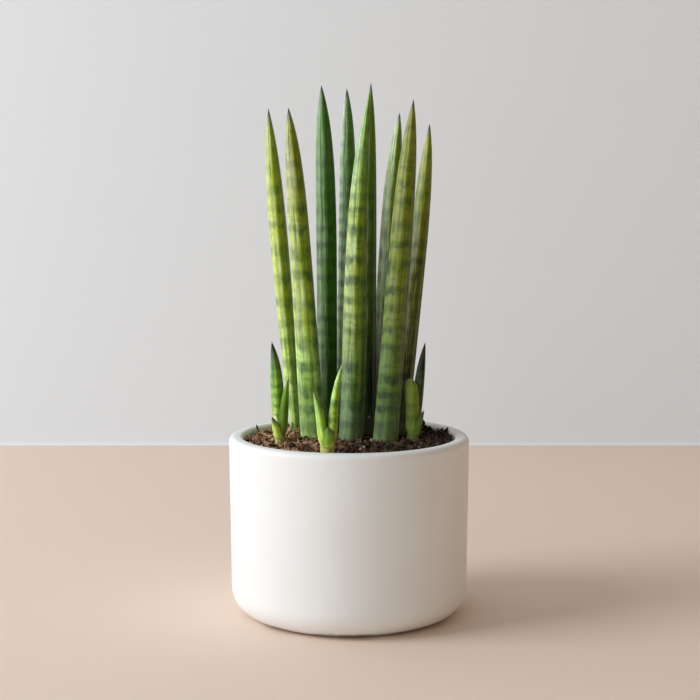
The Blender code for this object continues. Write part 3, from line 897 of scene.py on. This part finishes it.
def grow(name, tree, values, host=None):
    """Runs a Geometry Nodes tree with these inputs, on the host mesh if it works on one, and returns
    its result as a plain mesh."""
    holder = in_scene(name, host if host else bpy.data.meshes.new(name))
    modifier = holder.modifiers.new("Grow", "NODES")
    modifier.node_group = tree
    for socket in tree.interface.items_tree:
        if socket.in_out == "INPUT" and socket.name in values:
            modifier[socket.identifier] = values[socket.name]
    bpy.context.view_layer.update()
    graph = bpy.context.evaluated_depsgraph_get()
    made = bpy.data.meshes.new_from_object(holder.evaluated_get(graph), depsgraph=graph)
    bpy.data.objects.remove(holder)
    made.name = name
    return made


def place_piece(name, mesh, slot, *nodes):
    """Puts a finished mesh in the scene as a piece of the plant, in place of CAD nodes if any."""
    piece = in_scene(name, mesh)
    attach(piece, "root")
    if nodes:
        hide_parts(*nodes)


def leaf_inputs(leaf):
    """A leaf's own sizes in metres, under the names of the tree's inputs."""
    return {
        "Foot": (leaf.foot[0] * MM, leaf.foot[1] * MM, SOIL_LINE),
        "Tip": tuple(c * MM for c in leaf.tip),
        "Bow": (leaf.bow[0] * MM, leaf.bow[1] * MM, 0.0),
        "Girth": leaf.girth * MM,
        "Point": leaf.point * MM,
        "Swell": leaf.swell,
    }


def make_leaves(tree, group):
    """The nine grown leaves, each with its channel towards the middle of the pot."""
    for name, leaf in LEAVES.items():
        values = {
            **leaf_inputs(leaf),
            "Planted": LEAF_PLANTED,
            "Start fullness": ROOTED_FULLNESS,
            "Start share": LEAF_FOOT_SHARE,
            "Flutes": float(LEAF_FLUTES),
            "Channel": LEAF_CHANNEL,
            "Channel side": math.atan2(-leaf.foot[1], -leaf.foot[0]),
            "Sides": LEAF_SIDES,
            "Rows": LEAF_ROWS,
            "Finish": leaf_material(leaf.skin, LEAF_FLUTES, group, LEAF_WEAR, LEAF_GLOSS),
        }
        place_piece(f"{name}_skin", grow(f"{name}_skin", tree, values), "leaf_skin", name)


def joined(name, meshes):
    """Several meshes as one, each with its own materials."""
    holders = [in_scene(name, mesh) for mesh in meshes]
    with bpy.context.temp_override(active_object=holders[0], selected_editable_objects=holders):
        bpy.ops.object.join()
    made = holders[0].data
    bpy.data.objects.remove(holders[0])
    return made


def stem_of(shoot):
    """An offshoot's stem, as a short straight leaf with a blunt top."""
    top = (*shoot.foot, shoot.stem_top)
    return Leaf(shoot.foot, top, (0, 0), shoot.stem_girth, STEM_POINT, 0.0, shoot.stem_skin)


def make_offshoots(tree, group):
    """The three young rosettes: a short stem, rooted in the soil, and the channelled blades that
    grow out of it."""
    finishes = {}
    for name, shoot in OFFSHOOTS.items():
        meshes = []
        stem = stem_of(shoot)
        for n, blade in enumerate((stem, *shoot.blades)):
            if blade.skin not in finishes:
                look = leaf_material(blade.skin, BLADE_FLUTES, group, BLADE_WEAR, BLADE_GLOSS)
                finishes[blade.skin] = look
            is_stem = blade is stem
            values = {
                **leaf_inputs(blade),
                "Planted": OFFSHOOT_PLANTED if is_stem else 0.0,
                "Start fullness": ROOTED_FULLNESS if is_stem else BLADE_FULLNESS,
                "Start share": STEM_FOOT_SHARE if is_stem else BLADE_FOOT_SHARE,
                "Flutes": float(BLADE_FLUTES),
                "Channel": 0.0 if is_stem else BLADE_CHANNEL,
                "Channel side": math.atan2(shoot.foot[1] - blade.tip[1], shoot.foot[0] - blade.tip[0]),
                "Sides": BLADE_SIDES,
                "Rows": BLADE_ROWS,
                "Finish": finishes[blade.skin],
            }
            meshes.append(grow(f"{name}_{n}", tree, values))
        mesh = joined(f"{name}_skin", meshes)
        place_piece(f"{name}_skin", mesh, "offshoot_skin", name)


def closed_mesh(tool, name):
    """The mesh of a closed shape, with its faces turned outward."""
    bmesh.ops.recalc_face_normals(tool, faces=tool.faces)
    mesh = bpy.data.meshes.new(name)
    tool.to_mesh(mesh)
    tool.free()
    return mesh


def arc(centre_r, centre_z, radius, start, end):
    """Points along an arc of a turned profile, with its angles in degrees from the outward radius."""
    points = []
    for k in range(POT_ARC_STEPS + 1):
        angle = math.radians(start + (end - start) * k / POT_ARC_STEPS)
        points.append((centre_r + radius * math.cos(angle), centre_z + radius * math.sin(angle)))
    return points


def pot_profile():
    """The pot's section: recessed foot, rounded base, plain wall, soft rim and inside."""
    base_radius = POT_RADIUS - POT_TAPER
    ring_outer = base_radius - POT_BASE_ROUNDING
    ring_inner = ring_outer - FOOT_RING_WIDTH
    rim_inner_r = POT_INSIDE_RADIUS + POT_RIM_INNER_ROUNDING
    corner = POT_BASE_ROUNDING - POT_FLOOR
    outside = [(0, FOOT_RECESS), (ring_inner - FOOT_RECESS, FOOT_RECESS)]
    outside += [(ring_inner - FOOT_CHAMFER, FOOT_CHAMFER), (ring_inner + FOOT_CHAMFER, 0)]
    outside += arc(ring_outer, POT_BASE_ROUNDING, POT_BASE_ROUNDING, -90, 0)
    rim_r = POT_RADIUS - POT_RIM_OUTER_ROUNDING
    outside += arc(rim_r, POT_HEIGHT - POT_RIM_OUTER_ROUNDING, POT_RIM_OUTER_ROUNDING, 0, 90)
    inside = arc(rim_inner_r, POT_HEIGHT - POT_RIM_INNER_ROUNDING, POT_RIM_INNER_ROUNDING, 90, 180)
    inside += arc(base_radius - POT_WALL - corner, POT_BASE_ROUNDING, corner, 0, -90)
    return outside + inside + [(0, POT_FLOOR)]


def make_pot():
    """The pot, turned finely from its section."""
    tool = bmesh.new()
    corners = [tool.verts.new((r, 0, z)) for r, z in pot_profile()]
    edges = [tool.edges.new(pair) for pair in zip(corners, corners[1:])]
    bmesh.ops.spin(
        tool,
        geom=corners + edges,
        axis=(0, 0, 1),
        cent=(0, 0, 0),
        angle=2 * math.pi,
        steps=POT_SEGMENTS,
        use_merge=True,
    )
    bmesh.ops.remove_doubles(tool, verts=tool.verts, dist=POT_WELD_DISTANCE)
    mesh = closed_mesh(tool, "pot_glazed")
    mesh.shade_smooth()
    mesh.set_sharp_from_angle(angle=POT_SHARP_EDGE)
    mesh.materials.append(glaze())
    place_piece("pot_glazed", mesh, "pot_ceramic", "pot")


def soil_outline():
    """The soil's radius at each level of its rounded underside and side, read from its solid."""
    levels = {}
    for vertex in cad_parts["soil"].data.vertices:
        if vertex.co.z < POT_HEIGHT / 2:
            level = round(vertex.co.z, 5)
            levels[level] = max(levels.get(level, 0), math.hypot(vertex.co.x, vertex.co.y))
    return sorted(levels.items())


def solid_soil_heights(places):
    """Heights of the soil's solid at places on its top, and which of them lie in a stem's hole."""
    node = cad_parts["soil"].data
    node.calc_loop_triangles()
    points = [v.co for v in node.vertices]
    tree = BVHTree.FromPolygons(points, [t.vertices[:] for t in node.loop_triangles])
    edge = POT_HEIGHT - SOIL_EDGE_DROP
    above = POT_HEIGHT + SOIL_LOOK_DOWN
    heights, holes = [], []
    for x, y in places:
        hit = tree.ray_cast(Vector((x, y, above)), Vector((0, 0, -1)))[0]
        height = hit.z if hit else edge
        heights.append(height)
        holes.append(height < edge - SOIL_HOLE_DROP)
    return np.array(heights), np.array(holes)


def soil_top_places(edge_radius):
    """The places of a square grid that is pressed into a disc, and the grid's height at each.

    Where a stem's hole is, the surface is carried across from around it, so that the soil closes
    on the stem."""
    count = SOIL_CELLS + 1
    spots = np.linspace(-1, 1, count)
    u, v = np.meshgrid(spots, spots, indexing="ij")
    x = u * np.sqrt(1 - v * v / 2) * edge_radius
    y = v * np.sqrt(1 - u * u / 2) * edge_radius
    pull = 1 - SOIL_EDGE_PULL / edge_radius
    heights, holes = solid_soil_heights(zip((x * pull).ravel(), (y * pull).ravel()))
    z = heights.reshape(count, count)
    hole = holes.reshape(count, count)
    z[hole] = z[~hole].mean()
    for _ in range(SOIL_BRIDGE_ROUNDS):
        around = (np.roll(z, 1, 0) + np.roll(z, -1, 0) + np.roll(z, 1, 1) + np.roll(z, -1, 1)) / 4
        z[hole] = around[hole]
    return x, y, z


def crumbled(spot):
    """A place on the soil's top, raised or sunk by its finer crumbs."""
    for size, relief in SOIL_GRAINS:
        spot.z += relief * noise.noise(spot / size + Vector((SOIL_SEED, 0, 0)))
    return spot


def mark_open_top(mesh, edge_radius):
    """Keeps in the attribute open_top where loose bits may lie: on the top, off the stems."""
    open_top = mesh.attributes.new("open_top", "FLOAT", "POINT")
    stems = [(leaf.foot, leaf.girth * (1 + leaf.swell) / 2) for leaf in LEAVES.values()]
    stems += [(shoot.foot, shoot.stem_girth / 2) for shoot in OFFSHOOTS.values()]
    top_points = (SOIL_CELLS + 1) ** 2
    for n, vertex in enumerate(mesh.vertices):
        place = Vector((vertex.co.x, vertex.co.y)) / MM
        clear = place.length < (edge_radius - SOIL_CLEAR_EDGE) / MM and n < top_points
        clear = clear and all((place - Vector(foot)).length > radius for foot, radius in stems)
        open_top.data[n].value = float(clear)


def make_soil():
    """The soil as one closed body: a finely crumbled top over the sides and floor of its solid."""
    outline = soil_outline()
    edge_radius = POT_INSIDE_RADIUS - SOIL_EDGE_GAP
    x, y, z = soil_top_places(edge_radius)
    last = SOIL_CELLS
    steps = range(last + 1)
    tool = bmesh.new()
    places = [[Vector((x[i, j], y[i, j], z[i, j])) for j in steps] for i in steps]
    grid = [[tool.verts.new(crumbled(place)) for place in row] for row in places]
    for i in range(last):
        for j in range(last):
            tool.faces.new((grid[i][j], grid[i + 1][j], grid[i + 1][j + 1], grid[i][j + 1]))
    rim = [grid[k][0] for k in range(last)] + [grid[last][k] for k in range(last)]
    rim += [grid[last - k][last] for k in range(last)] + [grid[0][last - k] for k in range(last)]
    for level, radius in reversed(outline):
        lower = []
        for corner in rim:
            direction = Vector((corner.co.x, corner.co.y)).normalized()
            lower.append(tool.verts.new((direction.x * radius, direction.y * radius, level)))
        for n in range(len(rim)):
            m = (n + 1) % len(rim)
            tool.faces.new((rim[n], lower[n], lower[m], rim[m]))
        rim = lower
    middle = tool.verts.new((0, 0, outline[0][0]))
    for n in range(len(rim)):
        tool.faces.new((rim[n], middle, rim[(n + 1) % len(rim)]))
    mesh = closed_mesh(tool, "soil_bed")
    mesh.shade_smooth()
    mesh.materials.append(soil_material())
    mark_open_top(mesh, edge_radius)
    place_piece("soil_bed", mesh, "potting_soil", "soil")
    return mesh


def rough_ball(name, seed, stretch, roughness, fineness=1):
    """A lump with a few dozen faces, about one unit across."""
    pick = random.Random(seed)
    tool = bmesh.new()
    bmesh.ops.create_icosphere(tool, subdivisions=fineness, radius=0.5)
    for corner in tool.verts:
        corner.co *= 1 + pick.uniform(-roughness, roughness)
        corner.co = Vector(a * b for a, b in zip(corner.co, stretch))
    return closed_mesh(tool, name)


def shred(name, seed, width, thickness, curl, stations=6):
    """A curved sliver of bark or husk, about one unit long, with pointed ends and a flat section."""
    pick = random.Random(seed)
    tool = bmesh.new()
    rings = []
    twist = pick.uniform(-0.8, 0.8)
    for n in range(stations):
        share = n / (stations - 1)
        bend = curl * (share - 0.5)
        sway = (pick.random() - 0.5) * 0.08
        centre = Vector((math.sin(bend) / curl, sway, (1 - math.cos(bend)) / curl))
        full = max(0.12, math.sin(math.pi * (0.08 + 0.84 * share)) ** 0.6) * pick.uniform(0.8, 1.2)
        ring = []
        for k in range(4):
            angle = math.pi / 2 * k + twist * share
            side, lift = math.cos(angle) * width / 2 * full, math.sin(angle) * thickness / 2 * full
            ring.append(tool.verts.new(centre + Vector((0, side, lift))))
        rings.append(ring)
    for lower, upper in zip(rings, rings[1:]):
        for k in range(4):
            tool.faces.new((lower[k], lower[(k + 1) % 4], upper[(k + 1) % 4], upper[k]))
    tool.faces.new(rings[0])
    tool.faces.new(rings[-1])
    return closed_mesh(tool, name)


STREW_INPUTS = (
    *sockets("Geometry", "Geometry"),
    *sockets("Collection", "Shapes"),
    *sockets("Float", "Density", "Smallest", "Largest", "Sink", "Tilt"),
    *sockets("Int", "Seed"),
    *sockets("Material", "Finish"),
)


def random_value(tree, kind, low, high, seed):
    """A random vector, number or whole number from low to high for each point. The node has a pair
    of inputs and one output for each of these kinds, in this order."""
    n = ("FLOAT_VECTOR", "FLOAT", "INT").index(kind)
    spans = {2 * n: low, 2 * n + 1: high, "Seed": seed}
    return out(add(tree, "FunctionNodeRandomValue", spans, data_type=kind), n)


def strew_tree():
    """Geometry Nodes that strew shapes over the open top of the soil, each turned, tilted, sized
    and tinted at random."""
    tree, given = new_tree("strewn_mix", "GeometryNodeTree", STREW_INPUTS, GEOMETRY_OUTPUT)
    clear = out(add(tree, "GeometryNodeInputNamedAttribute", {"Name": "open_top"}, data_type="FLOAT"))
    spread = {"Mesh": given["Geometry"], "Density": given["Density"] * clear, "Seed": given["Seed"]}
    points = out(add(tree, "GeometryNodeDistributePointsOnFaces", spread, distribute_method="RANDOM"))
    lowered = {"Geometry": points, "Offset": vector(tree, 0.0, 0.0, -given["Sink"])}
    sunk = out(add(tree, "GeometryNodeSetPosition", lowered))
    shapes = {"Collection": given["Shapes"], "Separate Children": True, "Reset Children": True}
    kinds = out(add(tree, "GeometryNodeCollectionInfo", shapes, transform_space="ORIGINAL"))
    tilt, seed = given["Tilt"], given["Seed"]
    least, most = vector(tree, -tilt, -tilt, 0.0), vector(tree, tilt, tilt, 2 * math.pi)
    copies = {
        "Points": sunk,
        "Instance": kinds,
        "Pick Instance": True,
        "Instance Index": random_value(tree, "INT", 0, 1000, seed + 3),
        "Rotation": random_value(tree, "FLOAT_VECTOR", least, most, seed + 1),
        "Scale": random_value(tree, "FLOAT", given["Smallest"], given["Largest"], seed + 2),
    }
    strewn = out(add(tree, "GeometryNodeInstanceOnPoints", copies))
    tint = random_value(tree, "FLOAT", 0.0, 1.0, seed + 4)
    tinted = store(tree, strewn, "tint", tint, "FLOAT", "INSTANCE")
    return finish_geometry(tree, tinted, given["Finish"])


def strew_mix(bed):
    """Crumbs, husk shreds, bark flakes and perlite over the soil, each kind as one piece."""
    tree = strew_tree()
    crumbs = [rough_ball(f"crumb_{n}", n, (1.1, 0.9, 0.8), 0.22) for n in range(5)]
    shreds = [shred(f"shred_{n}", 20 + n, 0.26, 0.20, 1.0 + 0.55 * n) for n in range(6)]
    flakes = [shred(f"flake_{n}", 40 + n, 0.55, 0.18, 0.5 + 0.2 * n) for n in range(4)]
    perlite = [rough_ball(f"perlite_{n}", 60 + n, (1, 0.9, 0.8), 0.12, 2) for n in range(3)]
    brown = mix_material("peat_crumb", (0.010, 0.006, 0.004), (0.13, 0.068, 0.036), (1.5, 1.05, 0.8))
    husk = mix_material("husk_shred", (0.035, 0.016, 0.009), (0.74, 0.44, 0.27), (1.15, 1.0, 0.9))
    bark = mix_material("bark_flake", (0.03, 0.016, 0.010), (0.38, 0.21, 0.13), (1.2, 1.0, 0.9))
    white = mix_material("perlite_grain", (0.42, 0.39, 0.35), (0.80, 0.78, 0.74), (1.0, 0.97, 0.93))
    kinds = (
        ("soil_crumbs", crumbs, 0.22, (0.8, 2.4), 0.2, 3.0, 101, brown),
        ("soil_shreds", shreds, 0.10, (2.8, 6.2), -0.5, 0.4, 211, husk),
        ("soil_flakes", flakes, 0.025, (2.4, 5.5), -0.3, 0.7, 307, bark),
        ("soil_perlite", perlite, 0.002, (0.6, 1.2), -0.2, 3.0, 401, white),
    )
    for name, shapes, per_mm2, sizes, sink, tilt, seed, finish in kinds:
        group = bpy.data.collections.new(name)
        copied = [bpy.data.objects.new(shape.name, shape) for shape in shapes]
        for shape in copied:
            group.objects.link(shape)
        values = {
            "Shapes": group,
            "Density": per_mm2 / MM**2,
            "Smallest": sizes[0] * MM,
            "Largest": sizes[1] * MM,
            "Sink": sink * MM,
            "Tilt": tilt,
            "Seed": seed,
            "Finish": finish,
        }
        mesh = grow(name, tree, values, host=bed)
        for shape in copied:
            bpy.data.objects.remove(shape)
        bpy.data.collections.remove(group)
        place_piece(name, mesh, "potting_soil")


LITTER = (
    Bit("bark_chip", (-55.0, 24.6, 104.4), 5.0, 0.46, 0.4, 190, 70),
    Bit("bark_chip", (57.6, 19.6, 103.6), 5.5, 0.60, 0.4, 35, 48),
    Bit("bark_chip", (44.5, 38.0, 105.5), 6.0, 0.60, 0.4, 120, 60),
    Bit("dry_sheath", (-34.3, 20.2, 105.6), 6.5, 0.42, 0.7, 75, 66),
    Bit("dry_sheath", (-31.2, 19.6, 104.8), 5.5, 0.46, 0.8, 12, 12),
    Bit("pale_root", (-7.6, -6.4, 105.4), 5.0, 0.26, 0.4, 80, 78),
    Bit("pale_root", (-19.6, -7.4, 104.6), 2.8, 0.44, 0.3, 15, 35),
)
SPECKS = ((12.8, -18.3, 104.6), (8.4, -38.5, 104.0), (6.4, -42.2, 103.4), (11.7, 4.2, 114.4))
LITTER_FINISHES = {
    "bark_chip": ((0.010, 0.006, 0.004), (0.06, 0.034, 0.022), (1.2, 1.0, 0.9)),
    "dry_sheath": ((0.05, 0.055, 0.015), (0.30, 0.28, 0.11), (1.0, 1.0, 0.9)),
    "pale_root": ((0.42, 0.44, 0.24), (0.72, 0.76, 0.50), (1.0, 1.0, 0.9)),
    "loose_perlite": ((0.50, 0.46, 0.42), (0.86, 0.82, 0.78), (1.0, 0.96, 0.9)),
}


def sized(length):
    """A matrix that scales a shape of one unit to a length."""
    return Matrix.Diagonal((length, length, length)).to_4x4()


def make_litter():
    """The bits of bark, dried leaf sheath and pale root that stand out, and a few grains of perlite.
    """
    finishes = {name: mix_material(name, *looks) for name, looks in LITTER_FINISHES.items()}
    meshes = []
    for n, bit in enumerate(LITTER):
        mesh = shred(f"litter_{n}", 80 + n, bit.width, bit.width * 0.5, bit.curl)
        turned = Euler((0, -math.radians(bit.lift), math.radians(bit.turn))).to_matrix().to_4x4()
        mesh.transform(Matrix.Translation(Vector(bit.place) * MM) @ turned @ sized(bit.length * MM))
        mesh.materials.append(finishes[bit.finish])
        meshes.append(mesh)
    for n, place in enumerate(SPECKS):
        mesh = rough_ball(f"speck_{n}", 90 + n, (1.0, 0.9, 1.1), 0.12, 2)
        mesh.transform(Matrix.Translation(Vector(place) * MM) @ sized(SPECK_SIZE))
        mesh.materials.append(finishes["loose_perlite"])
        meshes.append(mesh)
    for mesh in meshes:
        tint = mesh.attributes.new("tint", "FLOAT", "POINT")
        tint.data.foreach_set("value", [LITTER_TINT] * len(mesh.vertices))
    place_piece("soil_litter", joined("soil_litter", meshes), "potting_soil")


def main():
    make_camera()
    bpy.context.scene.view_settings.view_transform = "Standard"
    make_lights()
    make_stage()
    make_pot()
    strew_mix(make_soil())
    make_litter()
    tree = leaf_tree()
    group = skin_group()
    make_leaves(tree, group)
    make_offshoots(tree, group)


main()
